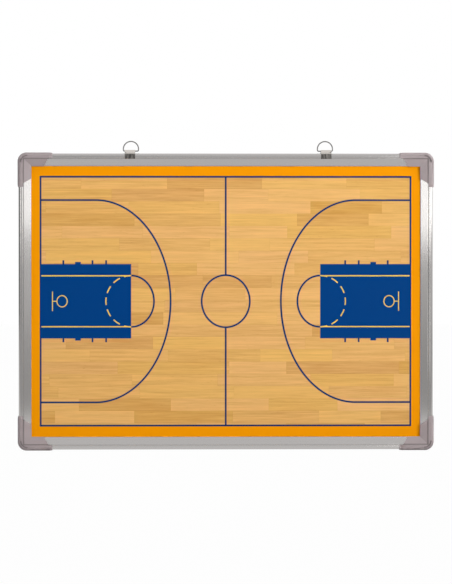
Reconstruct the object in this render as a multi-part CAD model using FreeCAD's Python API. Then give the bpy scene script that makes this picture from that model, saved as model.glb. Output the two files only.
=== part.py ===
import FreeCAD, Part
import math
import os

# Framed tactics board for wall or hand use: a printed panel in four extruded rails, joined by bent
# keys under moulded corner caps, with two sliding clips on the top rail that carry hanging rings.
# Millimetres. X to the right, Z up, the front faces -Y. The origin is the centre of the wall plane,
# the plane of the four caps' back faces.

# Frame, outer edge to outer edge of the rails
FRAME_WIDTH = 420.0
FRAME_HEIGHT = 300.0

# Rail section: widths run inwards from the outer edge, depths run back from the front of the bead
RAIL_FACE = 13.0
RAIL_WALL = 1.2
BEAD_WIDTH = 4.7
BEAD_OUTER_RADIUS = 2.4
BEAD_INNER_RADIUS = 0.8
GROOVE_WIDTH = 0.9
GROOVE_DEPTH = 1.0
BAND_TOP = 0.5            # depth of the sloping band at the groove
BAND_FALL = 1.9           # how far the band falls towards the panel
LIP_RADIUS = 1.0
LIP_EDGE = 0.2            # straight edge of the lip above the panel
LIP_FOOT = 1.6            # width of the lip's foot on the panel
CHAMBER_WIDTH = 4.0
CHAMBER_FRONT = 2.0       # solid depth in front of the key chamber
WEB = 1.0                 # wall between the key chamber and the panel
BACK_LIP = 9.5            # reach of the back lip from the outer edge
RAIL_END_GAP = 0.5        # a rail's square end to the face of the rail beside it

# Panel layers, front to back
FILM_THICKNESS = 0.2
FACE_SHEET_THICKNESS = 0.4
CORE_THICKNESS = 5.0
BACK_SHEET_THICKNESS = 0.3
PANEL_FIT = 0.1           # slack of the panel in the rail's slot, front and back
PANEL_EDGE_GAP = 0.4      # panel edge to the rail's web

# Corner caps
CAP_WALL = 1.25           # front and back
CAP_EDGE_WALL = 0.8       # along the frame's outer edges
CAP_FIT = 0.15            # cap to rail
CAP_ARM = 35.0            # arm length along the outer edge
CAP_BAND_STEP = 3.6       # how much shorter the arm's band is than its bead
CAP_ARM_SLANT = 5.0       # how much shorter still the band is at its inner edge
CAP_END_TAPER = 3.0       # length of the thinned end of an arm
CAP_END_DROP = 0.45       # how much thinner it gets there
CAP_CORNER_RADIUS = 9.05
CAP_BACK_RADIUS = 0.6
CAP_LINE_WIDTH = 0.9      # moulded line between the cap's bead and band
CAP_LINE_DEPTH = 0.75
CRESCENT_INSET = 3.1      # outer edge of the cap to the middle of the curved line in its corner
CRESCENT_RADIUS = 6.8     # of the line's middle
CRESCENT_WIDTH = 1.2
CRESCENT_DEPTH = 0.8
CRESCENT_SWEEP = 92.0     # degrees

# Corner keys
KEY_FIT = 0.1
KEY_LEAST_BEND = 2.0      # least inner bend radius
KEY_PAST_SCREW = 7.0      # end of a leg past its screw

# Cap screws
SCREW_RADIUS = 1.0
SCREW_LENGTH = 7.0
SCREW_TIP = 1.2
SCREW_HEAD_RADIUS = 2.0
SCREW_HEAD_HEIGHT = 1.0
SCREW_HEAD_SINK = 0.1     # head below the cap's back face
SCREW_FIT = 0.1
RECESS_WIDTH = 0.5
RECESS_LENGTH = 2.2
RECESS_DEPTH = 0.6

# Hanger clips
LEFT_CLIP_X = -97.3
RIGHT_CLIP_X = 101.5
CLIP_WIDTH = 10.6
CLIP_SHEET = 0.5
CLIP_FIT = 0.2            # clip to rail

# Hanging rings
RING_WIRE = 1.2
RING_FIT = 0.1            # bar to the clip's loop
RING_BAR_RISE = 2.5       # bar's centre above the top rail
RING_PLAY = 1.1           # straight bar past each side of the clip
RING_END_GAP = 0.1        # gap left at the side that a ring is pushed to
RING_CORNER = 1.2         # bend radius at the ends of the bar
RING_ARC_RISE = 2.1       # centre of the bow above the bar

# Depths of the section
LIP_SEAT = BAND_TOP + BAND_FALL + LIP_RADIUS + LIP_EDGE
PANEL_THICKNESS = FILM_THICKNESS + FACE_SHEET_THICKNESS + CORE_THICKNESS + BACK_SHEET_THICKNESS
SLOT_BACK = LIP_SEAT + PANEL_THICKNESS + 2 * PANEL_FIT
RAIL_DEPTH = SLOT_BACK + RAIL_WALL
CHAMBER_BACK = RAIL_DEPTH - RAIL_WALL
CAP_PROUD = CAP_WALL + CAP_FIT          # cap in front of and behind the rails
RAIL_FRONT_Y = -(CAP_PROUD + RAIL_DEPTH)

# Widths of the section
CHAMBER_END = RAIL_WALL + CHAMBER_WIDTH
WEB_END = CHAMBER_END + WEB
PANEL_INSET = WEB_END + PANEL_EDGE_GAP
BAND_START = BEAD_WIDTH + GROOVE_WIDTH
KEY_OUTER = RAIL_WALL + KEY_FIT
KEY_INNER = CHAMBER_END - KEY_FIT
KEY_CENTRE = (KEY_OUTER + KEY_INNER) / 2

# Places along a corner's arms, from the rails' outer edges
CAP_OUT = CAP_EDGE_WALL + CAP_FIT       # cap past those edges
RAIL_SETBACK = RAIL_FACE + RAIL_END_GAP
ARM_END = CAP_ARM - CAP_OUT
BAND_END = ARM_END - CAP_BAND_STEP
SCREW_AT = (RAIL_SETBACK + ARM_END) / 2
KEY_END = SCREW_AT + KEY_PAST_SCREW
CORNER_CENTRE = CAP_CORNER_RADIUS - CAP_OUT
BEND_CENTRE = max(CORNER_CENTRE, KEY_INNER + KEY_LEAST_BEND)

ORIGIN = FreeCAD.Vector(0, 0, 0)
ALONG_X = FreeCAD.Vector(1, 0, 0)
ALONG_Y = FreeCAD.Vector(0, 1, 0)
ALONG_Z = FreeCAD.Vector(0, 0, 1)
PAST = 1.0                # how far a cut runs past the face that it opens
SAME = 1e-6               # points closer than this are one point
OUT_OF_CORNER = 225.0     # degrees, from a corner's centre to the middle of its round edge


def point_on(centre, radius, degrees):
    """Point on a circle in the flat."""
    turn = math.radians(degrees)
    return (centre[0] + radius * math.cos(turn), centre[1] + radius * math.sin(turn))


def arc(centre, radius, start, end):
    """Round step of an outline: its middle and its end point, angles in degrees."""
    return [point_on(centre, radius, (start + end) / 2), point_on(centre, radius, end)]


def outline(start, steps, place):
    """Closed wire from straight steps [point] and round steps [middle, end], set in space by place."""
    edges = []
    here = start
    for step in steps + [[start]]:
        end = step[-1]
        if len(step) == 2:
            edges.append(Part.Arc(place(*here), place(*step[0]), place(*end)).toShape())
        elif math.dist(here, end) > SAME:
            edges.append(Part.LineSegment(place(*here), place(*end)).toShape())
        here = end
    return Part.Wire(edges)


def across_bottom(x):
    """Section plane of the bottom rail at x: width goes up, depth goes back."""
    return lambda u, v: FreeCAD.Vector(x, RAIL_FRONT_Y + v, u - FRAME_HEIGHT / 2)


def across_left(z):
    """Section plane of the left rail at z: width goes right, depth goes back."""
    return lambda u, v: FreeCAD.Vector(u - FRAME_WIDTH / 2, RAIL_FRONT_Y + v, z)


def corner_plan(depth):
    """Plan of the bottom left corner at a depth, measured from the rails' outer edges."""
    return lambda p, q: FreeCAD.Vector(p - FRAME_WIDTH / 2, RAIL_FRONT_Y + depth, q - FRAME_HEIGHT / 2)


def prism(start, steps, place, along, length):
    """Straight solid of an outline."""
    return Part.Face(outline(start, steps, place)).extrude(along * length)


def rectangle(u0, u1, v0, v1, place, along, length):
    """Straight solid of a rectangular section."""
    return prism((u0, v0), [[(u1, v0)], [(u1, v1)], [(u0, v1)]], place, along, length)


def drilled(shape, radius, depth_from, depth_to, places):
    """The shape with round holes from one depth to another at corner-plan places."""
    for p, q in places:
        start = corner_plan(depth_from)(p, q)
        shape = shape.cut(Part.makeCylinder(radius, depth_to - depth_from, start, ALONG_Y))
    return shape


def screw_places():
    """The two screws of a corner, one on each arm."""
    return [(SCREW_AT, KEY_CENTRE), (KEY_CENTRE, SCREW_AT)]


def to_corner(shape, side, level):
    """A bottom left shape mirrored to the corner at side and level, each -1 or 1."""
    if side > 0:
        shape = shape.mirror(ORIGIN, ALONG_X)
    if level > 0:
        shape = shape.mirror(ORIGIN, ALONG_Z)
    return shape


def rail(place, along, length):
    """One extruded rail with a rounded bead, a groove, a sloping band, a key chamber and a panel slot."""
    bead_in = (BEAD_WIDTH - BEAD_INNER_RADIUS, BEAD_INNER_RADIUS)
    lip = (RAIL_FACE - LIP_RADIUS, BAND_TOP + BAND_FALL + LIP_RADIUS)
    body = prism(
        (0, RAIL_DEPTH),
        [
            [(0, BEAD_OUTER_RADIUS)],
            arc((BEAD_OUTER_RADIUS, BEAD_OUTER_RADIUS), BEAD_OUTER_RADIUS, 180, 270),
            [(bead_in[0], 0)],
            arc(bead_in, BEAD_INNER_RADIUS, -90, 0),
            [(BEAD_WIDTH, GROOVE_DEPTH)],
            [(BAND_START, GROOVE_DEPTH)],
            [(BAND_START, BAND_TOP)],
            [(lip[0], BAND_TOP + BAND_FALL)],
            arc(lip, LIP_RADIUS, -90, 0),
            [(RAIL_FACE, LIP_SEAT)],
            [(RAIL_FACE - LIP_FOOT, LIP_SEAT)],
            [(WEB_END, GROOVE_DEPTH + RAIL_WALL)],
            [(WEB_END, SLOT_BACK)],
            [(BACK_LIP, SLOT_BACK)],
            [(BACK_LIP, RAIL_DEPTH)],
        ],
        place,
        along,
        length,
    )
    chamber = rectangle(RAIL_WALL, CHAMBER_END, CHAMBER_FRONT, CHAMBER_BACK, place, along, length)
    return body.cut(chamber)


def rails():
    """The four rails, each drilled at both ends for the cap screws."""
    width = FRAME_WIDTH - 2 * RAIL_SETBACK
    height = FRAME_HEIGHT - 2 * RAIL_SETBACK
    hole = SCREW_RADIUS + SCREW_FIT
    start = CHAMBER_BACK - PAST
    end = RAIL_DEPTH + PAST
    lower = [(SCREW_AT, KEY_CENTRE), (FRAME_WIDTH - SCREW_AT, KEY_CENTRE)]
    left = [(KEY_CENTRE, SCREW_AT), (KEY_CENTRE, FRAME_HEIGHT - SCREW_AT)]
    bottom_rail = rail(across_bottom(-width / 2), ALONG_X, width)
    bottom_rail = drilled(bottom_rail, hole, start, end, lower)
    left_rail = rail(across_left(-height / 2), ALONG_Z, height)
    left_rail = drilled(left_rail, hole, start, end, left)
    return {
        "rail_bottom": bottom_rail,
        "rail_top": bottom_rail.mirror(ORIGIN, ALONG_Z),
        "rail_left": left_rail,
        "rail_right": left_rail.mirror(ORIGIN, ALONG_X),
    }


def panel_layers():
    """Film, steel face, core and back sheet, all of one outline with rounded corners."""
    low = PANEL_INSET
    right = FRAME_WIDTH - PANEL_INSET
    top = FRAME_HEIGHT - PANEL_INSET
    radius = BEND_CENTRE - PANEL_INSET
    layers = {}
    depth = LIP_SEAT + PANEL_FIT
    for name, thickness in (
        ("court_film", FILM_THICKNESS),
        ("steel_face", FACE_SHEET_THICKNESS),
        ("core_board", CORE_THICKNESS),
        ("back_sheet", BACK_SHEET_THICKNESS),
    ):
        layers[name] = prism(
            (low + radius, low),
            [
                [(right - radius, low)],
                arc((right - radius, low + radius), radius, -90, 0),
                [(right, top - radius)],
                arc((right - radius, top - radius), radius, 0, 90),
                [(low + radius, top)],
                arc((low + radius, top - radius), radius, 90, 180),
                [(low, low + radius)],
                arc((low + radius, low + radius), radius, 180, 270),
            ],
            corner_plan(depth),
            ALONG_Y,
            thickness,
        )
        depth += thickness
    return layers


def cap_block():
    """Outer block of a cap: two arms with stepped ends and a round corner, softened along the outside."""
    front = -CAP_PROUD
    depth = RAIL_DEPTH + 2 * CAP_PROUD
    edge = -CAP_OUT
    short = BAND_END - CAP_ARM_SLANT
    block = prism(
        (ARM_END, edge),
        [
            [(ARM_END, BEAD_WIDTH)],
            [(BAND_END, BEAD_WIDTH)],
            [(short, RAIL_FACE)],
            [(RAIL_FACE, RAIL_FACE)],
            [(RAIL_FACE, short)],
            [(BEAD_WIDTH, BAND_END)],
            [(BEAD_WIDTH, ARM_END)],
            [(edge, ARM_END)],
            [(edge, CORNER_CENTRE)],
            arc((CORNER_CENTRE, CORNER_CENTRE), CAP_CORNER_RADIUS, 180, 270),
        ],
        corner_plan(front),
        ALONG_Y,
        depth,
    )
    block = block.makeFillet(BEAD_OUTER_RADIUS + CAP_OUT, outside_edges(block, front))
    return block.makeFillet(CAP_BACK_RADIUS, outside_edges(block, front + depth))


def outside_edges(block, depth):
    """Edges of the cap's outside at a depth: two straight runs and the corner between them."""
    level = RAIL_FRONT_Y + depth
    found = []
    for edge in block.Edges:
        box = edge.BoundBox
        flat = abs(box.YMin - level) < SAME and abs(box.YMax - level) < SAME
        middle = edge.valueAt((edge.FirstParameter + edge.LastParameter) / 2)
        p = middle.x + FRAME_WIDTH / 2 + CAP_OUT
        q = middle.z + FRAME_HEIGHT / 2 + CAP_OUT
        from_centre = math.hypot(p - CAP_CORNER_RADIUS, q - CAP_CORNER_RADIUS)
        on_corner = abs(from_centre - CAP_CORNER_RADIUS) < SAME
        if flat and (abs(p) < SAME or abs(q) < SAME or on_corner):
            found.append(edge)
    return found


def end_wedge(front, place, along, length):
    """Wedge that thins the end of an arm, from the outer face that lies at front."""
    return prism(
        (ARM_END - CAP_END_TAPER, front),
        [
            [(ARM_END, front + CAP_END_DROP)],
            [(ARM_END + PAST, front + CAP_END_DROP)],
            [(ARM_END + PAST, front - PAST)],
            [(ARM_END - CAP_END_TAPER, front - PAST)],
        ],
        place,
        along,
        length,
    )


def tapered(cap):
    """The cap with the ends of both arms thinned on the front and on the outer side."""
    front = -CAP_PROUD
    edge = -CAP_OUT
    depth = RAIL_DEPTH + 2 * CAP_PROUD
    plan = corner_plan(front)
    width = RAIL_FACE + CAP_OUT
    wedges = [
        end_wedge(edge, plan, ALONG_Y, depth),
        end_wedge(edge, lambda p, q: plan(q, p), ALONG_Y, depth),
        end_wedge(front, across_left(edge - FRAME_HEIGHT / 2), ALONG_Z, width),
        end_wedge(front, across_bottom(edge - FRAME_WIDTH / 2), ALONG_X, width),
    ]
    return cap.cut(wedges)


def band_cut(place, along, length):
    """What is cut from the front of a cap along one arm: the moulded line and the sloping band."""
    line_start = BEAD_WIDTH + (GROOVE_WIDTH - CAP_LINE_WIDTH) / 2
    line_end = line_start + CAP_LINE_WIDTH
    line_depth = CAP_LINE_DEPTH - CAP_PROUD
    band = BAND_TOP - CAP_PROUD
    front = -CAP_PROUD - PAST
    back = RAIL_DEPTH + CAP_PROUD + PAST
    far = CAP_ARM + PAST
    return prism(
        (line_start, front),
        [
            [(line_start, line_depth)],
            [(line_end, line_depth)],
            [(line_end, band)],
            [(RAIL_FACE, band + BAND_FALL)],
            [(RAIL_FACE, back)],
            [(far, back)],
            [(far, front)],
        ],
        place,
        along,
        length,
    )


def cap_cavity(place, along, length):
    """Room for one rail inside a cap, open towards the panel."""
    step = BAND_START - CAP_FIT
    back = RAIL_DEPTH + CAP_FIT
    far = RAIL_FACE + PAST
    return prism(
        (-CAP_FIT, back),
        [
            [(-CAP_FIT, BEAD_OUTER_RADIUS)],
            arc((BEAD_OUTER_RADIUS, BEAD_OUTER_RADIUS), BEAD_OUTER_RADIUS + CAP_FIT, 180, 270),
            [(step, -CAP_FIT)],
            [(step, BAND_TOP - CAP_FIT)],
            [(RAIL_FACE, BAND_TOP + BAND_FALL - CAP_FIT)],
            [(far, BAND_TOP + BAND_FALL - CAP_FIT)],
            [(far, back)],
        ],
        place,
        along,
        length,
    )


def crescent():
    """Curved line moulded in the front of a cap, across its corner."""
    outer = CRESCENT_RADIUS + CRESCENT_WIDTH / 2
    inner = CRESCENT_RADIUS - CRESCENT_WIDTH / 2
    start = OUT_OF_CORNER - CRESCENT_SWEEP / 2
    end = OUT_OF_CORNER + CRESCENT_SWEEP / 2
    reach = CRESCENT_INSET + CRESCENT_RADIUS - CAP_OUT
    centre = (reach, reach)
    return prism(
        point_on(centre, outer, start),
        [arc(centre, outer, start, end), [point_on(centre, inner, end)], arc(centre, inner, end, start)],
        corner_plan(-CAP_PROUD - PAST),
        ALONG_Y,
        PAST + CRESCENT_DEPTH,
    )


def inner_limit():
    """Inside of the cap's outer walls, with the corner rounded to an even wall."""
    far = CAP_ARM + PAST
    centre = (CORNER_CENTRE, CORNER_CENTRE)
    return prism(
        (far, -CAP_FIT),
        [
            [(far, far)],
            [(-CAP_FIT, far)],
            [(-CAP_FIT, CORNER_CENTRE)],
            arc(centre, CAP_CORNER_RADIUS - CAP_EDGE_WALL, 180, 270),
        ],
        corner_plan(-CAP_PROUD),
        ALONG_Y,
        RAIL_DEPTH + 2 * CAP_PROUD,
    )


def corner_cap():
    """Moulded cap of the bottom left corner."""
    start = -CAP_OUT - PAST
    run = CAP_ARM + 2 * PAST
    lower = across_bottom(start - FRAME_WIDTH / 2)
    left = across_left(start - FRAME_HEIGHT / 2)
    cap = tapered(cap_block())
    cap = cap.cut(band_cut(lower, ALONG_X, run).common(band_cut(left, ALONG_Z, run)))
    cavity = cap_cavity(lower, ALONG_X, run).fuse(cap_cavity(left, ALONG_Z, run))
    cap = cap.cut(cavity.common(inner_limit()))
    cap = cap.cut(crescent())
    back = RAIL_DEPTH + CAP_PROUD
    for p, q in screw_places():
        cap = cap.cut(screw_seat(corner_plan(back)(p, q)))
    return cap


def screw_seat(at):
    """Countersunk hole for a screw, from its point on the cap's back face."""
    mouth = SCREW_HEAD_RADIUS + SCREW_FIT
    hole = SCREW_RADIUS + SCREW_FIT
    depth = SCREW_HEAD_HEIGHT + SCREW_HEAD_SINK
    through = CAP_PROUD + PAST
    cone = Part.makeCone(mouth, hole, depth, at, -ALONG_Y)
    return cone.fuse(Part.makeCylinder(hole, through, at, -ALONG_Y))


def corner_key():
    """Bent bar in the key chambers of two rails, drilled from the back for the screws."""
    front = CHAMBER_FRONT + KEY_FIT
    back = CHAMBER_BACK - KEY_FIT
    centre = (BEND_CENTRE, BEND_CENTRE)
    key = prism(
        (KEY_OUTER, KEY_END),
        [
            [(KEY_OUTER, BEND_CENTRE)],
            arc(centre, BEND_CENTRE - KEY_OUTER, 180, 270),
            [(KEY_END, KEY_OUTER)],
            [(KEY_END, KEY_INNER)],
            [(BEND_CENTRE, KEY_INNER)],
            arc(centre, BEND_CENTRE - KEY_INNER, 270, 180),
            [(KEY_INNER, KEY_END)],
        ],
        corner_plan(front),
        ALONG_Y,
        back - front,
    )
    tip = RAIL_DEPTH + CAP_PROUD - SCREW_HEAD_SINK - SCREW_LENGTH - SCREW_FIT
    return drilled(key, SCREW_RADIUS + SCREW_FIT, tip, back + PAST, screw_places())


def screw(at):
    """Countersunk screw with a cross recess, head at the back, from its point on the cap's back face."""
    head = at - ALONG_Y * SCREW_HEAD_SINK
    neck = head - ALONG_Y * SCREW_HEAD_HEIGHT
    tip = head - ALONG_Y * (SCREW_LENGTH - SCREW_TIP)
    body = Part.makeCone(SCREW_HEAD_RADIUS, SCREW_RADIUS, SCREW_HEAD_HEIGHT, head, -ALONG_Y)
    shank = Part.makeCylinder(SCREW_RADIUS, SCREW_LENGTH - SCREW_TIP - SCREW_HEAD_HEIGHT, neck, -ALONG_Y)
    point = Part.makeCone(SCREW_RADIUS, 0, SCREW_TIP, tip, -ALONG_Y)
    body = body.fuse([shank, point]).removeSplitter()
    for long, wide in ((RECESS_LENGTH, RECESS_WIDTH), (RECESS_WIDTH, RECESS_LENGTH)):
        low = head - FreeCAD.Vector(long / 2, RECESS_DEPTH, wide / 2)
        body = body.cut(Part.makeBox(long, RECESS_DEPTH + PAST, wide, low))
    return body


def on_top_rail(x):
    """Section plane of the top rail at x: height above the rail's edge goes up, depth goes back."""
    return lambda w, v: FreeCAD.Vector(x, RAIL_FRONT_Y + v, w + FRAME_HEIGHT / 2)


def hanger_clip(x):
    """Folded sheet clip: a front lip in the groove, a back hook under the back lip and a loop on top."""
    gap = CLIP_FIT
    out = CLIP_FIT + CLIP_SHEET
    lip_in = BEAD_WIDTH + (GROOVE_WIDTH - CLIP_SHEET) / 2
    lip_out = lip_in + CLIP_SHEET
    lip_tip = GROOVE_DEPTH - CLIP_FIT
    hook_in = BACK_LIP + CLIP_FIT
    hook_out = hook_in + CLIP_SHEET
    hook_tip = SLOT_BACK + CLIP_FIT
    front = (0, 0)
    rear = (0, RAIL_DEPTH)
    top = (RING_BAR_RISE, RAIL_DEPTH / 2)
    hole = RING_WIRE / 2 + RING_FIT
    rise = math.atan2(RAIL_DEPTH / 2, RING_BAR_RISE)
    spread = math.acos((gap - hole) / math.hypot(*top))
    tilt = math.degrees(spread - rise)      # slope of the sheet between the rail's edges and the loop
    fold_front = (-lip_in, -gap)
    fold_back = (-hook_in, RAIL_DEPTH + gap)
    place = on_top_rail(x - CLIP_WIDTH / 2)
    strip = prism(
        (-lip_in, lip_tip),
        [
            [fold_front],
            [(0, -gap)],
            arc(front, gap, -90, -tilt),
            [point_on(top, hole, -tilt)],
            arc(top, hole, -tilt, tilt),
            [point_on(rear, gap, tilt)],
            arc(rear, gap, tilt, 90),
            [fold_back],
            [(-hook_in, hook_tip)],
            [(-hook_out, hook_tip)],
            [(-hook_out, fold_back[1])],
            arc(fold_back, CLIP_SHEET, 180, 90),
            [(0, RAIL_DEPTH + out)],
            arc(rear, out, 90, tilt),
            [point_on(top, hole + CLIP_SHEET, tilt)],
            arc(top, hole + CLIP_SHEET, tilt, -tilt),
            [point_on(front, out, -tilt)],
            arc(front, out, -tilt, -90),
            [(-lip_in, -out)],
            arc(fold_front, CLIP_SHEET, 270, 180),
            [(-lip_out, lip_tip)],
        ],
        place,
        ALONG_X,
        CLIP_WIDTH,
    )
    bar = place(*top)
    loop = Part.makeCylinder(hole + CLIP_SHEET, CLIP_WIDTH, bar, ALONG_X)
    eye = Part.makeCylinder(hole, CLIP_WIDTH, bar, ALONG_X)
    return strip.fuse(loop).cut(eye).removeSplitter()


def hanging_ring(x):
    """D-ring of round wire: a straight bar in the clip's loop, two tight bends and a round bow."""
    half = CLIP_WIDTH / 2 + RING_PLAY
    reach = math.hypot(half, RING_ARC_RISE - RING_CORNER)
    radius = RING_CORNER + reach
    slope = math.degrees(math.atan2(RING_CORNER - RING_ARC_RISE, half))
    centre = (0, RING_ARC_RISE)
    bar = FreeCAD.Vector(x, RAIL_FRONT_Y + RAIL_DEPTH / 2, FRAME_HEIGHT / 2 + RING_BAR_RISE)
    path = outline(
        (-half, 0),
        [
            [(half, 0)],
            arc((half, RING_CORNER), RING_CORNER, -90, slope),
            arc(centre, radius, slope, 180 - slope),
            arc((-half, RING_CORNER), RING_CORNER, 180 - slope, 270),
        ],
        lambda a, b: bar + FreeCAD.Vector(a, 0, b),
    )
    wire = Part.Wire(Part.makeCircle(RING_WIRE / 2, bar - ALONG_X * half, ALONG_X))
    return path.makePipeShell([wire], True, False)


def clips_and_rings():
    """Both hangers; each ring is pushed along its bar towards the middle of the board."""
    push = RING_PLAY - RING_END_GAP
    return {
        "hanger_clip_left": hanger_clip(LEFT_CLIP_X),
        "hanger_clip_right": hanger_clip(RIGHT_CLIP_X),
        "hanger_ring_left": hanging_ring(LEFT_CLIP_X + push),
        "hanger_ring_right": hanging_ring(RIGHT_CLIP_X - push),
    }


def corners():
    """Caps and keys of the four corners, and all the screws in one group."""
    cap = corner_cap()
    key = corner_key()
    back = RAIL_DEPTH + CAP_PROUD
    pair = Part.makeCompound([screw(corner_plan(back)(p, q)) for p, q in screw_places()])
    pieces = {}
    screws = []
    for level_name, level in (("top", 1), ("bottom", -1)):
        for side_name, side in (("left", -1), ("right", 1)):
            pieces[f"corner_cap_{level_name}_{side_name}"] = to_corner(cap, side, level)
            pieces[f"corner_key_{level_name}_{side_name}"] = to_corner(key, side, level)
            screws += to_corner(pair, side, level).Solids
    pieces["cap_screws"] = Part.makeCompound(screws)
    return pieces


def main():
    os.makedirs("parts", exist_ok=True)
    pieces = {**panel_layers(), **rails(), **corners(), **clips_and_rings()}
    for name, shape in pieces.items():
        if not shape.isValid():
            raise ValueError(f"{name} is not a valid shape")
        print(name, "solids", len(shape.Solids), "volume mm3", round(shape.Volume, 1))
        shape.exportStep(f"parts/{name}.step")


main()
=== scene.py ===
import math

import bpy
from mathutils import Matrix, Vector


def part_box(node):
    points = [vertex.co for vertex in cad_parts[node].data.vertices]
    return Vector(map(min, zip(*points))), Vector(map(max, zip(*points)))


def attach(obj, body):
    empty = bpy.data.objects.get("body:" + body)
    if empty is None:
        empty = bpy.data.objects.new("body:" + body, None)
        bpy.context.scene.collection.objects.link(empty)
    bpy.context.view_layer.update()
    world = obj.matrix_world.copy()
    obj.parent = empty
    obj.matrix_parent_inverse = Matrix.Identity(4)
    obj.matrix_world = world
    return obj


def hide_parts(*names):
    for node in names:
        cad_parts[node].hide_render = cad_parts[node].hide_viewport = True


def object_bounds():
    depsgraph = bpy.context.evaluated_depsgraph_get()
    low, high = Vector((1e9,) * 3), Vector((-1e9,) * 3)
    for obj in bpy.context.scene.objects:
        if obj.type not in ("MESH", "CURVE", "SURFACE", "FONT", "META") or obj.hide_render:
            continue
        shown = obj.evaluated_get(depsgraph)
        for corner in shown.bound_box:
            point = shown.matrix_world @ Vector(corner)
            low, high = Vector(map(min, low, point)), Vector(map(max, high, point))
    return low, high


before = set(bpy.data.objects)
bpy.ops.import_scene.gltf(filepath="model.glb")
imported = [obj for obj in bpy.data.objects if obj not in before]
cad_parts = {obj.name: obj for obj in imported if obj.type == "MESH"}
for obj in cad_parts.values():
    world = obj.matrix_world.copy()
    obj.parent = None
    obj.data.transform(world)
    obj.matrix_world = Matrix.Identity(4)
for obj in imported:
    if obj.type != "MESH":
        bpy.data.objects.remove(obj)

bl_info = {
    "name": "Tactics board looks",
    "version": (1, 0, 0),
    "blender": (4, 5, 0),
    "location": "3D View > Sidebar > Board",
    "description": "Finishes, court print and studio for a framed tactics board",
    "category": "Object",
}

CAD_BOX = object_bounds()
TINY = 1e-9               # keeps a divisor off zero
HALF = 0.5                # middle of a noise, of a random draw, of a stave and of a printed edge
PRINT_EDGE = 0.00012      # metres over which a printed edge fades
SOFT_EDGE = 0.00025       # metres over which painted shade fades

# Wooden floor of the court. The seeds keep its random draws apart.
ROW_SEEDS = (3.0, 1.0)
END_SEED, TONE_SEED, TINT_SEED = 5.0, 9.0, 2.0
ROW_SHIFT = 17.0          # stave lengths by which a row may be shifted
LATEST_END = 0.42         # share of a stave's length by which it may end late
DARK_STAVES = 0.12        # share of the staves that are darker
GRAIN_SHIFT = (3.1, 1.0, 1.7)  # metres by which a stave's tone moves its grain
GRAIN_ROUGHNESS = 0.6
GRAIN_LAYERS = (          # stretch of the noise on each axis, its detail and its weight
    ((20.0, 1.0, 300.0), 3.0, 0.30),
    ((7.0, 1.0, 600.0), 3.0, 0.24),
    ((40.0, 1.0, 1500.0), 2.0, 0.26),
)
FLECK_STRETCH = (170.0, 1.0, 1500.0)
FLECK_START, FLECK_REACH, FLECK_DEPTH = 0.68, 1 / 6, 0.16
SEAM_WIDTH, SEAM_DEPTH = 0.0003, 0.08  # metres; share of the tone that a seam takes
WARM_START, WARM_GAIN, WARM_LIFT = 1.05, 2.2, 0.16  # how dark tones turn warm

# Noise of the other finishes: scales per metre, and stretches on each axis.
FILM_CLOUD, FILM_PEEL = 60.0, 1400.0
FILM_WIPES = (18.0, 1.0, 60.0)
RAIL_LINES, RAIL_BANDS = (5.0, 3600.0, 3600.0), (2.0, 700.0, 700.0)  # for a level rail
RAIL_SMEAR = 28.0
CAP_GRAIN, CAP_CLOUD = 2400.0, 70.0
CAP_FLOW = (220.0, 60.0, 220.0)
PLATE_GRAIN, PLATE_SPECKS = 24.0, 9.0  # times the scale of the plate's drifts
# Streaks of the painted dark reflection on the clips' legs.
LEG_SHADE_STREAKS = (900.0, 60.0, 130.0)
ZINC_CRYSTALS = 150.0
ZINC_VEINS = (120.0, 1.0, 420.0)
PRIMER_CLOUD, PRIMER_PEEL = 40.0, 900.0
FIBRES = (300.0, 900.0, 700.0)
FIBRE_CLOUD = 50.0

# Places in the film's texture map.
FRONT_MAP = (1.0, 0.0, 0.0)   # scale, left and bottom of the front
BACK_MAP = (0.36, 0.0, 0.73)  # the same for the back
EDGE_LEFT, EDGE_WIDTH, EDGE_LOW, EDGE_HEIGHT = 0.40, 0.5, 0.75, 0.2

# Studio, in metres. A light has its place, its aim and its width and height; a card also its share of glow.
KEY_LIGHT = ((1.15, -1.62, 0.55), (0.0, 0.0, 0.28), (1.0, 1.0))
FILL_LIGHT = ((-1.20, -1.30, 0.60), (0.0, 0.0, 0.0), (0.8, 0.8))
CARDS = {
    "card_right": ((0.72, -1.5, 0.262), (-0.2, 0.0, 0.262), (0.44, 0.34), 0.54),
    "card_left": ((-1.40, -3.0, 0.418), (0.2, 0.0, 0.25), (0.62, 0.68), 1.15),
    "card_far_right": ((1.3, -0.75, 0.27), (0.2, 0.0, 0.27), (1.2, 0.36), 1.0),
    "card_near_right": ((0.66, -3.0, 0.14), (0.2, 0.0, 0.1), (0.48, 0.14), 1.8),
    "card_low_right": ((0.42, -2.0, -0.075), (0.2, 0.0, -0.075), (0.2, 0.14), 0.5),
}
WHITE = (1.0, 1.0, 1.0)
ROOM_FRONT = (0.0, 0.5)       # where the room takes over from the white, and over what reach
EYE_LEVEL = (-0.05, 0.07)     # the same for its high part
FLAG_EDGE = (0.55, 0.25)      # the same for the dark left side
SHADE_WAY = (-0.0523, -0.9985, -0.0175)  # from the board to the darkest part of the room
SHADE_REACH = math.radians(4.5)  # half angle of that part
SKY_LIFT = 0.1                # how much more light comes from above than from the side
FLOOR_SIDES, FLOOR_RADIUS, FLOOR_GAP = 96, 6.0, 0.0001
FLOOR_GREY = (0.3, 0.3, 0.3)
FLOOR_GRAIN = 30.0            # noise scale per metre
FLOOR_GLOW = 0.985            # share of plain white that the camera sees; the rest holds the shadow
FLOOR_DIM = 0.12              # how much darker metal mirrors the floor
FLOOR_FAR = (0.50, 0.25)      # how far in front the mirrored floor turns as dark as the room; reach
SENSOR = 36.0                 # millimetres
NEAREST, FARTHEST = 0.05, 50.0  # what the camera takes in


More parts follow.
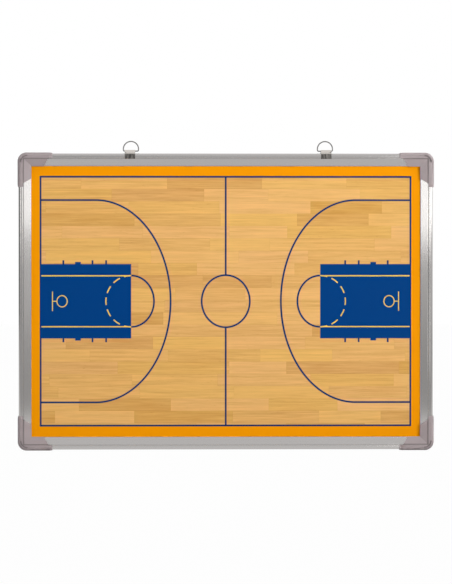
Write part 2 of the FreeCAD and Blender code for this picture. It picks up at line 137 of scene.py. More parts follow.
def srgb(red, green, blue):
    """Linear colour of an sRGB one that is written from 0 to 255."""
    shares = (red / 255, green / 255, blue / 255)
    return tuple(s / 12.92 if s <= 0.04045 else ((s + 0.055) / 1.055) ** 2.4 for s in shares)


def length(name, description, default):
    """A size in metres that a user may change."""
    return bpy.props.FloatProperty(
        name=name, description=description, default=default, min=0.0, precision=5, unit="LENGTH"
    )


def place_along(name, description, default):
    """A place in metres, to either side."""
    return bpy.props.FloatProperty(
        name=name, description=description, default=default, precision=5, unit="LENGTH"
    )


def colour(name, description, default):
    """A colour that a user may change."""
    return bpy.props.FloatVectorProperty(
        name=name, description=description, default=default, size=3, min=0.0, max=1.0, subtype="COLOR"
    )


def share(name, description, default):
    """A number from 0 to 1."""
    return bpy.props.FloatProperty(
        name=name, description=description, default=default, min=0.0, max=1.0, subtype="FACTOR"
    )


class CourtPrint(bpy.types.PropertyGroup):
    """Sizes and colours of the printed court; distances along the court start at an end line."""

    film_corner: length("Film corner", "Radius of the film's corners", 0.0015)
    centre_x: place_along("Centre X", "Middle of the court, to the right of the board's middle", -0.00025)
    centre_z: place_along("Centre Z", "Middle of the court, above the board's middle", 0.0003)
    half_length: length("Half length", "Middle of the court to an end line", 0.18755)
    half_height: length("Half height", "Middle of the court to a side line", 0.1261)
    line: length("Line", "Width of the court's lines", 0.0018)
    circle_x: length("Circle across", "Centre circle, half its width", 0.0244)
    circle_z: length("Circle up", "Centre circle, half its height", 0.0264)
    key_length: length("Key length", "End line to the free-throw line", 0.0917)
    key_half: length("Key half width", "Middle of the court to the edge of the key", 0.0377)
    arc_x: length("Free-throw arc across", "Reach of the arc past the key", 0.0231)
    arc_z: length("Free-throw arc up", "Half the height of the free-throw arcs", 0.0260)
    dash_x: length("Dashed arc across", "Reach of the dashed arc into the key", 0.0256)
    dash_step: bpy.props.FloatProperty(
        name="Dash step",
        description="Angle from one dash to the next",
        default=math.radians(27.5),
        subtype="ANGLE",
    )
    dash_sweep: bpy.props.FloatProperty(
        name="Dash sweep", description="Angle of one dash", default=math.radians(17.0), subtype="ANGLE"
    )
    lane_half: length("Lane half width", "Middle of the court to a lane line", 0.0258)
    lane_line: length("Lane line", "Width of the lane lines", 0.00115)
    lane_start: length("Lane start", "End line to the start of a lane line", 0.0009)
    lane_short: length("Lane end", "End of a lane line to the end of the key", 0.0013)
    backboard: length("Backboard", "End line to the backboard", 0.0120)
    backboard_half: length("Backboard half width", "Half the length of the backboard", 0.0098)
    hoop: length("Hoop", "End line to the hoop's centre", 0.0217)
    hoop_x: length("Hoop across", "Half the hoop's width", 0.0052)
    hoop_z: length("Hoop up", "Half the hoop's height", 0.0057)
    hoop_line: length("Hoop line", "Width of the hoop's and backboard's lines", 0.00085)
    mark_1: length("First mark", "End line to the first lane mark", 0.0230)
    mark_2: length("Second mark", "End line to the second lane mark", 0.0525)
    mark_3: length("Third mark", "End line to the third lane mark", 0.0663)
    mark_height: length("Mark height", "How far a lane mark stands out", 0.00385)
    block_start: length("Block start", "End line to the lane block", 0.0349)
    block_length: length("Block length", "Length of the lane block", 0.0058)
    block_height: length("Block height", "How far the lane block stands out", 0.00215)
    three_half: length("Three-point half width", "Middle of the court to the straight lines", 0.1025)
    three_straight: length("Three-point straight", "Length of the straight lines", 0.0558)
    three_apex: length("Three-point apex", "End line to the top of the arc", 0.1316)
    stave_height: length("Stave height", "Width of the floor's wooden staves", 0.0125)
    stave_length: length("Stave length", "Usual length of a stave", 0.086)
    stave_start: length("Stave start", "Lowest seam between staves above the middle", 0.0013)
    border: colour("Border", "Margin round the court", srgb(245, 154, 0))
    ink: colour("Ink", "Key areas and lane blocks", srgb(0, 62, 128))
    line_ink: colour("Line ink", "Thin lines of the court", srgb(0, 48, 104))
    lane_ink: colour("Lane ink", "Lane lines, hoops and backboards", srgb(238, 208, 84))
    stave_yellow: colour("Yellow stave", "Yellowest staves", srgb(226, 178, 100))
    stave_pink: colour("Pink stave", "Pinkest staves", srgb(229, 179, 115))
    grain: colour("Grain", "Colour that dark staves and grain turn to", srgb(208, 142, 56))
    stave_range: share("Stave range", "How far the staves' tones lie apart", 0.11)
    stave_dark: share("Dark staves", "How much darker the odd dark stave is", 0.05)


class FrameFinish(bpy.types.PropertyGroup):
    """Colours of the frame, the caps, the hangers and the back."""

    rail: colour("Rails", "Satin aluminium", srgb(194, 191, 189))
    rail_roughness: share("Rail roughness", "Roughness of the satin finish", 0.14)
    cap: colour("Caps", "Moulded plastic", srgb(163, 151, 152))
    # Painted shade: how much darker the caps' moulded lines are painted in their base colour.
    cap_shading: share("Cap grime", "How much darker the caps' moulded lines are", 0.36)
    cap_line_at: length("Cap line place", "Cap's outer edge to the middle of its straight line", 0.0061)
    cap_line: length("Cap line", "Width of the cap's straight line", 0.0009)
    curve_centre: length("Curve centre", "Cap's outer edges to the centre of its curved line", 0.0099)
    curve_radius: length("Curve radius", "Radius of the cap's curved line", 0.0068)
    curve_line: length("Curve line", "Width of the cap's curved line", 0.0012)
    curve_sweep: bpy.props.FloatProperty(
        name="Curve sweep",
        description="Angle of the cap's curved line",
        default=math.radians(92.0),
        subtype="ANGLE",
    )
    clip: colour("Clips", "Plated spring steel", srgb(204, 198, 192))
    # Painted dark reflection: below this height the clips' front legs are darkened in streaks.
    clip_shaded_below: length("Clip rubbed", "Height below which the clips' plate is rubbed dark", 0.1496)
    wire: colour("Rings", "Plated wire", srgb(140, 138, 136))
    zinc: colour("Keys and screws", "Zinc plate", srgb(190, 190, 184))
    primer: colour("Steel face", "Primed sheet", srgb(226, 226, 220))
    fibre: colour("Core", "Fibreboard", srgb(158, 122, 82))
    back_pale: colour("Back, pale", "Pale crystals of the galvanised back", srgb(200, 203, 205))
    back_dark: colour("Back, dark", "Dark crystals of the galvanised back", srgb(180, 184, 187))


class StudioStage(bpy.types.PropertyGroup):
    """Camera, floor and light."""

    distance: length("Camera distance", "Camera to the board's middle", 3.0)
    view_height: length("View height", "Height that the picture takes in at the board", 0.5913)
    aim_x: place_along("Aim X", "Point in the picture's middle, to the right", -0.0001)
    aim_z: place_along("Aim Z", "Point in the picture's middle, above the board's middle", 0.0097)
    azimuth: bpy.props.FloatProperty(
        name="Azimuth",
        description="How far the camera stands to the right",
        default=math.radians(-1.25),
        subtype="ANGLE",
    )
    elevation: bpy.props.FloatProperty(
        name="Elevation",
        description="How far the camera stands above the board's middle",
        default=math.radians(0.6),
        subtype="ANGLE",
    )
    ambient: share("Ambient", "Light from all round", 0.56)
    key_power: bpy.props.FloatProperty(
        name="Key light", description="Power of the soft light at the upper right", default=4.6, unit="POWER"
    )
    key_spread: bpy.props.FloatProperty(
        name="Key spread",
        description="Angle of the key light's beam",
        default=math.radians(60.0),
        subtype="ANGLE",
    )
    fill_power: bpy.props.FloatProperty(
        name="Fill light", description="Power of the soft light at the left", default=1.5, unit="POWER"
    )
    card_glow: bpy.props.FloatProperty(
        name="Card glow", description="Brightness of the cards that the metal mirrors", default=1.7, min=0.0
    )
    room_high: share("Room, high", "Brightness of the room behind the camera, above eye level", 0.82)
    room_low: share("Room, low", "Brightness of the room behind the camera, below eye level", 0.48)
    left_flag: share("Left flag", "How much darker the left side is that the metal mirrors", 0.75)
    camera_shade: share("Camera shade", "How dark the room is right behind the camera", 0.85)


class Wire:
    """A socket of a node tree, for use in Python expressions: each operation adds its node."""

    def __init__(self, tree, socket=None):
        self.tree = tree
        self.socket = socket

    def node(self, kind, settings=None, values=None, output=0):
        """Adds any node: its settings first, then the values or links of its sockets."""
        made = self.tree.nodes.new(kind)
        for name, value in (settings or {}).items():
            setattr(made, name, value)
        for name, value in (values or {}).items():
            if isinstance(value, Wire):
                self.tree.links.new(value.socket, made.inputs[name])
            else:
                made.inputs[name].default_value = value
        return Wire(self.tree, made.outputs[output] if made.outputs else None)

    def other(self, output):
        """Another output of the node that this socket belongs to."""
        return Wire(self.tree, self.socket.node.outputs[output])

    def math(self, operation, *values):
        """A Math node on this value and others."""
        return self.node("ShaderNodeMath", {"operation": operation}, dict(enumerate((self, *values))))

    def reflected(self, operation, first):
        """A Math node whose first value is a plain number."""
        return self.node("ShaderNodeMath", {"operation": operation}, {0: first, 1: self})

    def __add__(self, other):
        return self.math("ADD", other)

    def __radd__(self, other):
        return self.reflected("ADD", other)

    def __sub__(self, other):
        return self.math("SUBTRACT", other)

    def __rsub__(self, other):
        return self.reflected("SUBTRACT", other)

    def __mul__(self, other):
        return self.math("MULTIPLY", other)

    def __rmul__(self, other):
        return self.reflected("MULTIPLY", other)

    def __truediv__(self, other):
        return self.math("DIVIDE", other)

    def __rtruediv__(self, other):
        return self.reflected("DIVIDE", other)

    def __lt__(self, other):
        return self.math("LESS_THAN", other)

    def __gt__(self, other):
        return self.math("GREATER_THAN", other)

    def __abs__(self):
        return self.math("ABSOLUTE")

    def clamped(self):
        """The value held between 0 and 1."""
        return self.node("ShaderNodeClamp", None, {"Value": self})


def start_material(name):
    """A new material and the Object coordinates of the piece that wears it."""
    made = bpy.data.materials.new(name)
    made.use_nodes = True
    made.node_tree.nodes.clear()
    return made, Wire(made.node_tree).node("ShaderNodeTexCoord", output="Object")


def end_material(wire, **values):
    """Gives a material its shader and output; the values are the shader's own."""
    names = {name.replace("_", " "): value for name, value in values.items()}
    shader = wire.node("ShaderNodeBsdfPrincipled", None, names)
    wire.node("ShaderNodeOutputMaterial", None, {"Surface": shader})


def opaque(rgb):
    """A colour with full alpha."""
    return (*rgb, 1.0)


def mixed(factor, first, second):
    """Two colours, mixed by a value."""
    ends = [c if isinstance(c, Wire) else opaque(c) for c in (first, second)]
    return factor.node("ShaderNodeMix", {"data_type": "RGBA"}, {0: factor, 6: ends[0], 7: ends[1]}, 2)


def scaled(tint, factor):
    """A colour, or a vector, times a value."""
    return factor.node("ShaderNodeVectorMath", {"operation": "SCALE"}, {0: tint, 3: factor})


def stretched(place, scale):
    """Coordinates times a scale for each axis."""
    return place.node("ShaderNodeMapping", None, {"Vector": place, "Scale": scale})


def noise(place, scale=1.0, detail=2.0, roughness=0.5):
    """Soft noise from 0 to 1."""
    values = {"Vector": place, "Scale": scale, "Detail": detail, "Roughness": roughness}
    return place.node("ShaderNodeTexNoise", None, values)


def varied(base, *parts):
    """A base value, plus values that each have a weight."""
    for value, weight in parts:
        base = value * weight + base
    return base


def ramp(value, start, reach):
    """0 up to a start, from where it rises to 1 over some reach."""
    return ((value - start) / reach).clamped()


def chance(*parts):
    """A random number from 0 to 1 for each set of values."""
    first = parts[0]
    spot = first.node("ShaderNodeCombineXYZ", None, dict(enumerate(parts)))
    return first.node("ShaderNodeTexWhiteNoise", {"noise_dimensions": "3D"}, {"Vector": spot})


def bump(height, depth, strength=1.0):
    """A normal from a height of 0 to 1 and the depth in metres that it stands for."""
    values = {"Height": height, "Distance": depth, "Strength": strength}
    return height.node("ShaderNodeBump", None, values)


def largest(first, *others):
    """The largest of several values."""
    for other in others:
        first = first.math("MAXIMUM", other)
    return first


def smallest(first, *others):
    """The smallest of several values."""
    for other in others:
        first = first.math("MINIMUM", other)
    return first


def filled(distance):
    """Ink inside an outline, whose distance is negative there."""
    return (HALF - distance / PRINT_EDGE).clamped()


def drawn(distance, width):
    """Ink along a line of some width."""
    return filled(abs(distance) - width / 2)


def from_ellipse(u, v, reach_u, reach_v):
    """Distance from an ellipse about the origin, negative inside."""
    out = (u / reach_u).math("POWER", 2.0) + (v / reach_v).math("POWER", 2.0)
    slope = (u / reach_u**2).math("POWER", 2.0) + (v / reach_v**2).math("POWER", 2.0)
    out = out.math("SQRT")
    return out * (out - 1) / (slope.math("SQRT") + TINY)


def from_box(u, u_start, u_end, v, v_half):
    """Distance from a rectangle that is even about the middle, negative inside."""
    across = abs(u - (u_start + u_end) / 2) - (u_end - u_start) / 2
    return largest(across, abs(v) - v_half)


def key_ink(court, along, across):
    """The solid ink at one end, from the distance along the court and the distance from its middle."""
    key = from_box(along, 0.0, court.key_length, across, court.key_half)
    block_end = court.block_start + court.block_length
    block = from_box(along, court.block_start, block_end, across, court.key_half + court.block_height)
    return largest(filled(key), filled(block))


def end_lines(court, along, across):
    """The lines at one end: free-throw arc, three-point line and lane marks."""
    past_key = along - court.key_length
    arc = drawn(from_ellipse(past_key, across, court.arc_x, court.arc_z), court.line)
    beyond = (along - court.three_straight).math("MAXIMUM", 0.0)
    reach = court.three_apex - court.three_straight
    lines = [
        smallest(arc, past_key > 0.0),
        drawn(from_ellipse(beyond, across, reach, court.three_half), court.line),
    ]
    for at in (court.mark_1, court.mark_2, court.mark_3):
        tall = court.key_half + court.mark_height
        lines.append(filled(from_box(along, at - court.line / 2, at + court.line / 2, across, tall)))
    return largest(*lines)


def lane_ink(court, along, across):
    """The second ink at one end: lane lines, dashed arc, backboard, stem and hoop."""
    lane = court.lane_line / 2
    lane_end = court.key_length - court.lane_short
    lanes = largest(
        abs(along - (court.lane_start + lane_end) / 2) - (lane_end - court.lane_start) / 2,
        abs(abs(across) - court.lane_half) - lane,
    )
    inside = court.key_length - along
    turn = across.math("ARCTAN2", inside) / court.dash_step
    off_dash = abs(turn - turn.math("ROUND")) * court.dash_step
    dashes = drawn(from_ellipse(inside, across, court.dash_x, court.arc_z), court.lane_line)
    dashes = smallest(dashes, off_dash < court.dash_sweep / 2, inside > 0.0)
    half = court.hoop_line / 2
    backboard = from_box(
        along, court.backboard - half, court.backboard + half, across, court.backboard_half
    )
    stem = from_box(along, court.backboard, court.hoop - court.hoop_x, across, half)
    hoop = from_ellipse(along - court.hoop, across, court.hoop_x, court.hoop_z)
    return largest(filled(lanes), dashes, filled(backboard), filled(stem), drawn(hoop, court.hoop_line))


def staves(court, place, x, z):
    """Colour of a floor of staves with random lengths, tones and grain."""
    level = (z - court.stave_start) / court.stave_height
    row = level.math("FLOOR")
    step = x / court.stave_length + chance(row, *ROW_SEEDS) * ROW_SHIFT
    cell = step.math("FLOOR")
    late = chance(cell, row, END_SEED) * LATEST_END
    stave = cell - ((step - cell) < late)
    tone = chance(stave, row, TONE_SEED)
    tint = mixed(chance(stave, row, TINT_SEED), court.stave_yellow, court.stave_pink)
    light = 1.0 + (tone - HALF) * court.stave_range - (tone < DARK_STAVES) * court.stave_dark
    shift = scaled(GRAIN_SHIFT, tone)
    spot = place.node("ShaderNodeVectorMath", {"operation": "ADD"}, {0: place, 1: shift})
    for stretch, detail, weight in GRAIN_LAYERS:
        grain = noise(stretched(spot, stretch), detail=detail, roughness=GRAIN_ROUGHNESS)
        light = light + (grain - HALF) * weight
    fleck = noise(stretched(spot, FLECK_STRETCH), detail=1.0)
    light = light - ramp(fleck, FLECK_START, FLECK_REACH) * FLECK_DEPTH
    to_seam = (HALF - abs(level - row - HALF)) * court.stave_height
    to_end = abs(step - cell - late) * court.stave_length
    seam = (1.0 - smallest(to_seam, to_end) / SEAM_WIDTH).clamped()
    light = light - seam * SEAM_DEPTH
    warm = ((WARM_START - light) * WARM_GAIN).clamped()
    return scaled(mixed(warm, tint, court.grain), light + warm * WARM_LIFT)


def court_material(court):
    """The printed film: a wooden floor, its border and the court's lines in two inks."""
    made, place = start_material("court_print")
    split = place.node("ShaderNodeSeparateXYZ", None, {0: place})
    x = split - court.centre_x
    z = split.other(2) - court.centre_z
    along = court.half_length - abs(x)
    edge = largest(along * -1.0, abs(z) - court.half_height)
    from_circle = from_ellipse(x, z, court.circle_x, court.circle_z)
    half_line = smallest(drawn(x, court.line), from_circle > 0.0)
    lines = largest(end_lines(court, along, z), drawn(from_circle, court.line), half_line)
    lines = largest(smallest(lines, edge < 0.0), drawn(edge, court.line))
    solid = smallest(key_ink(court, along, z), edge < 0.0)
    tint = mixed(filled(edge), court.border, staves(court, place, x, z))
    tint = mixed(lines, tint, court.line_ink)
    tint = mixed(solid, tint, court.ink)
    tint = mixed(lane_ink(court, along, z), tint, court.lane_ink)
    cloud = noise(place, FILM_CLOUD, detail=3.0)
    wiped = noise(stretched(place, FILM_WIPES), detail=4.0, roughness=0.6)
    peel = noise(place, FILM_PEEL, detail=1.0)
    end_material(
        place,
        Base_Color=scaled(tint, varied(0.985, (cloud, 0.03))),
        Roughness=varied(0.36, (wiped, 0.14)),
        Specular_IOR_Level=0.035,
        Normal=bump(peel, depth=0.00001, strength=0.35),
    )
    return made


def rail_material(name, look, along_x):
    """Satin aluminium: its sheen spreads across fine lines drawn along the rail; faint smears."""
    made, place = start_material(name)
    order = 1 if along_x else -1
    fine = noise(stretched(place, RAIL_LINES[::order]), roughness=0.6)
    wide = noise(stretched(place, RAIL_BANDS[::order]))
    smear = noise(place, RAIL_SMEAR, detail=3.0, roughness=0.6)
    end_material(
        place,
        Base_Color=scaled(look.rail[:], varied(0.95, (fine, 0.06), (wide, 0.04))),
        Metallic=1.0,
        Roughness=varied(look.rail_roughness, (smear, 0.02)),
        Anisotropic=1.0,
        Anisotropic_Rotation=0.25 if along_x else 0.0,
        Normal=bump(fine, depth=0.000008),
    )
    return made


def drawn_softly(distance, width):
    """A line with soft edges."""
    return ((width / 2 + SOFT_EDGE - abs(distance)) / SOFT_EDGE).clamped()


def cap_material(look):
    """Moulded grey plastic with a fine grain, slight clouding and painted shade in its moulded lines."""
    made, place = start_material("cap_plastic")
    grain = noise(place, CAP_GRAIN)
    cloud = noise(place, CAP_CLOUD, detail=3.0)
    flow = noise(stretched(place, CAP_FLOW))
    # Painted shade: the straight moulded line and the curved line near each corner are darkened in the base
    # colour.
    split = place.node("ShaderNodeSeparateXYZ", None, {0: place})
    inward = CAD_BOX[1][0] - abs(split)
    upward = abs(split.other(2)) * -1.0 - CAD_BOX[0][2]
    straight = drawn_softly(smallest(inward, upward) - look.cap_line_at, look.cap_line)
    across, up = inward - look.curve_centre, upward - look.curve_centre
    out = (across * across + up * up).math("SQRT")
    curve = drawn_softly(out - look.curve_radius, look.curve_line)
    facing = (across + up) * -math.sqrt(HALF) - out * math.cos(look.curve_sweep / 2)
    shading = largest(straight, smallest(curve, facing > 0.0)) * look.cap_shading
    tone = varied(0.95, (cloud, 0.07), (flow, 0.04)) * (1.0 - shading)
    end_material(
        place,
        Base_Color=scaled(look.cap[:], tone),
        Roughness=varied(0.40, (cloud, 0.12)),
        Specular_IOR_Level=0.4,
        Normal=bump(grain, depth=0.00002, strength=0.5),
    )
    return made


def plated_material(name, tint, roughness, scale, shaded=None):
    """Plated steel with a fine grain, drifts of tone and dull specks; a painted dark reflection in streaks
    below a given height.
    """
    made, place = start_material(name)
    drift = noise(place, scale, detail=4.0, roughness=0.6)
    grain = noise(place, scale * PLATE_GRAIN)
    speck = ramp(noise(place, scale * PLATE_SPECKS), start=0.64, reach=0.125)
    tone = varied(0.92, (drift, 0.16), (speck, -0.12))
    # Painted dark reflection: below the given height the plate is darkened in streaks.
    if shaded is not None:
        height = place.node("ShaderNodeSeparateXYZ", None, {0: place}).other(2)
        streak = ramp(noise(stretched(place, LEG_SHADE_STREAKS)), start=0.35, reach=0.303)
        leg_shade = ((shaded - height) / SOFT_EDGE).clamped()
        tone = tone * (1.0 - leg_shade * varied(0.5, (streak, 0.4)))
    end_material(
        place,
        Base_Color=scaled(tint[:], tone),
        Metallic=1.0,
        Roughness=varied(roughness, (drift, 0.10), (speck, 0.15)),
        Normal=bump(grain, depth=0.00001, strength=0.4),
    )
    return made


def galvanised_material(look):
    """Galvanised sheet: flat zinc crystals, each with its own tone and sheen."""
    made, place = start_material("back_steel")
    values = {"Vector": place, "Scale": ZINC_CRYSTALS}
    crystals = place.node("ShaderNodeTexVoronoi", {"feature": "F1"}, values, "Color")
    tone = crystals.node("ShaderNodeSeparateColor", None, {0: crystals})
    sheen = tone.other(1)
    veins = noise(stretched(place, ZINC_VEINS), detail=3.0, roughness=0.6)
    end_material(
        place,
        Base_Color=mixed((tone * 0.8 + veins * 0.2).clamped(), look.back_dark, look.back_pale),
        Metallic=1.0,
        Roughness=varied(0.34, (sheen, 0.08), (veins, 0.06)),
        Normal=bump(veins, depth=0.00001, strength=0.4),
    )
    return made


def primed_material(look):
    """Primed steel sheet with a slight peel."""
    made, place = start_material("face_steel")
    cloud = noise(place, PRIMER_CLOUD, detail=3.0)
    peel = noise(place, PRIMER_PEEL)
    end_material(
        place,
        Base_Color=scaled(look.primer[:], varied(0.96, (cloud, 0.06))),
        Roughness=varied(0.42, (cloud, 0.10)),
        Normal=bump(peel, depth=0.00001, strength=0.5),
    )
    return made


def fibre_material(look):
    """Raw fibreboard: short fibres in two tones."""
    made, place = start_material("fibreboard")
    fibres = noise(stretched(place, FIBRES), detail=4.0, roughness=0.7)
    cloud = noise(place, FIBRE_CLOUD, detail=3.0)
    end_material(
        place,
        Base_Color=scaled(look.fibre[:], varied(0.72, (fibres, 0.36), (cloud, 0.16))),
        Roughness=varied(0.86, (fibres, 0.08)),
        Normal=bump(fibres, depth=0.0001, strength=0.6),
    )
    return made


def dress(material, *names):
    """Gives CAD nodes a material in place of their own."""
    for name in names:
        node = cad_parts[name]
        node.data.materials.clear()
        node.data.materials.append(material)


def corner_names(kind):
    """Names of the nodes of one kind at the four corners."""
    levels, sides = ("top", "bottom"), ("left", "right")
    return [f"corner_{kind}_{level}_{side}" for level in levels for side in sides]


def map_sheet(sheet, lo, hi):
    """Lays the sheet out for textures: its front fills the map's width, the back and edge go above it."""
    mesh = sheet.data
    layer = mesh.uv_layers.new(name="OFBake")
    wide, thick = hi.x - lo.x, hi.y - lo.y
    for face in mesh.polygons:
        spots = [mesh.vertices[mesh.loops[loop].vertex_index].co for loop in face.loop_indices]
        if abs(face.normal.y) > HALF:
            size, left, low = FRONT_MAP if face.normal.y < 0.0 else BACK_MAP
            places = [((p.x - lo.x) / wide * size + left, (p.z - lo.z) / wide * size + low) for p in spots]
        else:
            turns = [math.atan2(p.z, p.x) / math.tau % 1.0 for p in spots]
            if max(turns) - min(turns) > HALF:
                turns = [turn + 1.0 if turn < HALF else turn for turn in turns]
            depths = [(p.y - lo.y) / thick for p in spots]
            places = [
                (EDGE_LEFT + EDGE_WIDTH * turn, EDGE_LOW + EDGE_HEIGHT * depth)
                for turn, depth in zip(turns, depths)
            ]
        for loop, place in zip(face.loop_indices, places):
            layer.uv[loop].vector = place


class BOARD_OT_court_film(bpy.types.Operator):
    """Make the film, with rounded corners, and print the court on it"""

    bl_idname = "board.court_film"
    bl_label = "Court film"

    def execute(self, context):
        court = context.scene.board_court
        lo, hi = (Vector(corner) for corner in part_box("court_film"))
        middle = (lo + hi) / 2
        bpy.ops.mesh.primitive_plane_add(
            size=1.0, location=(middle.x, lo.y, middle.z), rotation=(math.pi / 2, 0.0, 0.0)
        )
        sheet = bpy.context.object
        sheet.name = "court_sheet"
        sheet.scale = (hi.x - lo.x, hi.z - lo.z, 1.0)
        bpy.ops.object.transform_apply(location=True, rotation=True, scale=True)
        bpy.ops.object.mode_set(mode="EDIT")
        bpy.ops.mesh.select_all(action="SELECT")
        bpy.ops.mesh.bevel(offset=court.film_corner, segments=6, affect="VERTICES")
        bpy.ops.mesh.select_all(action="SELECT")
        bpy.ops.mesh.extrude_region_move(TRANSFORM_OT_translate={"value": (0.0, hi.y - lo.y, 0.0)})
        bpy.ops.mesh.select_all(action="SELECT")
        bpy.ops.mesh.normals_make_consistent(inside=False)
        bpy.ops.object.mode_set(mode="OBJECT")
        map_sheet(sheet, lo, hi)
        sheet.data.materials.append(court_material(court))
        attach(sheet, "board")
        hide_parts("court_film")
        return {"FINISHED"}


class BOARD_OT_panel(bpy.types.Operator):
    """Finish the steel face, the core and the back sheet"""

    bl_idname = "board.panel"
    bl_label = "Panel layers"

    def execute(self, context):
        look = context.scene.board_finish
        dress(primed_material(look), "steel_face")
        dress(fibre_material(look), "core_board")
        dress(galvanised_material(look), "back_sheet")
        return {"FINISHED"}


class BOARD_OT_rails(bpy.types.Operator):
    """Finish the four rails"""

    bl_idname = "board.rails"
    bl_label = "Rails"

    def execute(self, context):
        look = context.scene.board_finish
        dress(rail_material("rail_level", look, True), "rail_top", "rail_bottom")
        dress(rail_material("rail_upright", look, False), "rail_left", "rail_right")
        return {"FINISHED"}


class BOARD_OT_caps(bpy.types.Operator):
    """Finish the four corner caps"""

    bl_idname = "board.caps"
    bl_label = "Corner caps"

    def execute(self, context):
        dress(cap_material(context.scene.board_finish), *corner_names("cap"))
        return {"FINISHED"}


class BOARD_OT_fixings(bpy.types.Operator):
    """Finish the corner keys and the cap screws"""

    bl_idname = "board.fixings"
    bl_label = "Keys and screws"

    def execute(self, context):
        look = context.scene.board_finish
        zinc = plated_material("zinc_plate", look.zinc, roughness=0.30, scale=160.0)
        dress(zinc, "cap_screws", *corner_names("key"))
        return {"FINISHED"}


class BOARD_OT_hangers(bpy.types.Operator):
    """Finish the hanger clips and their rings"""

    bl_idname = "board.hangers"
    bl_label = "Hangers"

    def execute(self, context):
        look = context.scene.board_finish
        clip = plated_material("clip_plate", look.clip, roughness=0.05, scale=240.0, shaded=look.clip_shaded_below)
        ring = plated_material("ring_plate", look.wire, roughness=0.18, scale=300.0)
        dress(clip, "hanger_clip_left", "hanger_clip_right")
        dress(ring, "hanger_ring_left", "hanger_ring_right")
        return {"FINISHED"}


def white_world(stage):
    """White behind the board, also in mirrored rays; a grey room on the camera's side; an even light."""
    world = bpy.data.worlds.new("studio_white")
    bpy.context.scene.world = world
    world.use_nodes = True
    world.node_tree.nodes.clear()
    path = Wire(world.node_tree).node("ShaderNodeLightPath", output="Is Camera Ray")
    mirrored = path.other("Is Glossy Ray")
    seen = largest(path, mirrored, path.other("Is Transmission Ray"))
    way = path.node("ShaderNodeTexCoord", output="Generated")
    right = way.node("ShaderNodeSeparateXYZ", None, {0: way})
    back, up = right.other(1), right.other(2)
    front = ramp(back * -1.0, *ROOM_FRONT) * mirrored
    room = stage.room_low + ramp(up, *EYE_LEVEL) * (stage.room_high - stage.room_low)
    dot = {"operation": "DOT_PRODUCT"}
    ahead = way.node("ShaderNodeVectorMath", dot, {0: way, 1: SHADE_WAY}, "Value")
    shade_edge = math.cos(SHADE_REACH)
    room = room * (1.0 - ramp(ahead, shade_edge, 1.0 - shade_edge) * stage.camera_shade)
    flag = ramp(right * -1.0, *FLAG_EDGE) * mirrored
    level = (1.0 - front * (1.0 - room)) * (1.0 - flag * stage.left_flag)
    above = stage.ambient * (1.0 + up * SKY_LIFT)
    even = path.node("ShaderNodeBackground", None, {"Color": scaled(WHITE, above)})
    plain = path.node("ShaderNodeBackground", None, {"Color": scaled(WHITE, level)})
    sky = path.node("ShaderNodeMixShader", None, {0: seen, 1: even, 2: plain})
    path.node("ShaderNodeOutputWorld", None, {"Surface": sky})


def pale_floor(stage):
    """A pale floor under the caps: nearly white to the camera, with the board's shadow."""
    bpy.ops.mesh.primitive_circle_add(
        vertices=FLOOR_SIDES,
        radius=FLOOR_RADIUS,
        fill_type="NGON",
        location=(0.0, 0.0, CAD_BOX[0][2] - FLOOR_GAP),
    )
    floor = bpy.context.object
    floor.name = "floor"
    made, place = start_material("floor_white")
    path = place.node("ShaderNodeLightPath", output="Is Camera Ray")
    mirrored = path.other("Is Glossy Ray")
    seen = largest(path, mirrored, path.other("Is Transmission Ray"))
    ahead = place.node("ShaderNodeSeparateXYZ", None, {0: place}).other(1) * -1.0
    far = ramp(ahead, *FLOOR_FAR)
    level = 1.0 - mirrored * (FLOOR_DIM + far * (1.0 - FLOOR_DIM - stage.room_low))
    grey = scaled(FLOOR_GREY, varied(0.98, (noise(place, FLOOR_GRAIN), 0.02)))
    matt = place.node("ShaderNodeBsdfDiffuse", None, {"Color": grey})
    glow = place.node("ShaderNodeEmission", None, {"Color": scaled(WHITE, level)})
    both = place.node("ShaderNodeMixShader", None, {0: seen * FLOOR_GLOW, 1: matt, 2: glow})
    place.node("ShaderNodeOutputMaterial", None, {"Surface": both})
    floor.data.materials.append(made)


def soft_light(name, at, aim, size, power):
    """A soft light that neither the camera nor the metal sees."""
    turn = (Vector(aim) - Vector(at)).to_track_quat("-Z", "Y").to_euler()
    bpy.ops.object.light_add(type="AREA", location=at, rotation=turn)
    light = bpy.context.object
    light.name = name
    light.data.shape = "RECTANGLE"
    light.data.size, light.data.size_y = size
    light.data.energy = power
    light.visible_camera = False
    light.visible_glossy = False
    return light


def mirror_card(name, at, aim, size, glow):
    """A card that only shiny surfaces see; its power follows from its size, so that its glow holds."""
    card = soft_light(name, at, aim, size, glow * math.pi * size[0] * size[1])
    card.visible_glossy = True
    card.visible_diffuse = False
    card.visible_transmission = False


def front_camera(stage):
    """The camera, far in front of the board, a little to the left and above the picture's middle."""
    aim = Vector((stage.aim_x, CAD_BOX[0][1], stage.aim_z))
    level = math.cos(stage.elevation)
    across, away = math.sin(stage.azimuth) * level, math.cos(stage.azimuth) * level
    back = Vector((across, -away, math.sin(stage.elevation)))
    turn = (-back).to_track_quat("-Z", "Y").to_euler()
    bpy.ops.object.camera_add(location=aim + back * stage.distance, rotation=turn)
    camera = bpy.context.object
    camera.name = "front_camera"
    camera.data.sensor_width = SENSOR
    camera.data.lens = SENSOR * stage.distance / stage.view_height
    camera.data.clip_start = NEAREST
    camera.data.clip_end = FARTHEST
    bpy.context.scene.camera = camera


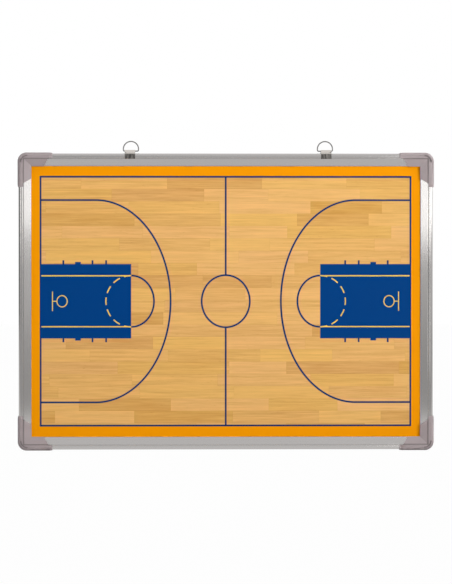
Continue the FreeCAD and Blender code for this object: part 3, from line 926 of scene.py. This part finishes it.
class BOARD_OT_stage(bpy.types.Operator):
    """Set up the floor, the light and the camera"""

    bl_idname = "board.stage"
    bl_label = "Studio"

    def execute(self, context):
        stage = context.scene.board_stage
        context.scene.view_settings.view_transform = "Standard"
        white_world(stage)
        pale_floor(stage)
        key = soft_light("key_light", *KEY_LIGHT, stage.key_power)
        key.data.spread = stage.key_spread
        soft_light("fill_light", *FILL_LIGHT, stage.fill_power)
        for name, (at, aim, size, part) in CARDS.items():
            mirror_card(name, at, aim, size, stage.card_glow * part)
        front_camera(stage)
        return {"FINISHED"}


class BOARD_PT_looks(bpy.types.Panel):
    """Builds the board's looks and holds their sizes and colours"""

    bl_idname = "BOARD_PT_looks"
    bl_label = "Tactics board"
    bl_space_type = "VIEW_3D"
    bl_region_type = "UI"
    bl_category = "Board"

    def draw(self, context):
        for operator in OPERATORS:
            self.layout.operator(operator.bl_idname)
        for group in (context.scene.board_court, context.scene.board_finish, context.scene.board_stage):
            box = self.layout.box()
            for name in group.__annotations__:
                box.prop(group, name)


OPERATORS = (
    BOARD_OT_court_film,
    BOARD_OT_panel,
    BOARD_OT_rails,
    BOARD_OT_caps,
    BOARD_OT_fixings,
    BOARD_OT_hangers,
    BOARD_OT_stage,
)
CLASSES = (CourtPrint, FrameFinish, StudioStage, *OPERATORS, BOARD_PT_looks)


def register():
    for made in CLASSES:
        bpy.utils.register_class(made)
    bpy.types.Scene.board_court = bpy.props.PointerProperty(type=CourtPrint)
    bpy.types.Scene.board_finish = bpy.props.PointerProperty(type=FrameFinish)
    bpy.types.Scene.board_stage = bpy.props.PointerProperty(type=StudioStage)


def unregister():
    del bpy.types.Scene.board_stage
    del bpy.types.Scene.board_finish
    del bpy.types.Scene.board_court
    for made in reversed(CLASSES):
        bpy.utils.unregister_class(made)


def main():
    register()
    bpy.ops.object.select_all(action="DESELECT")
    bpy.ops.board.court_film()
    bpy.ops.board.panel()
    bpy.ops.board.rails()
    bpy.ops.board.caps()
    bpy.ops.board.fixings()
    bpy.ops.board.hangers()
    bpy.ops.board.stage()


if __name__ == "__main__":
    main()
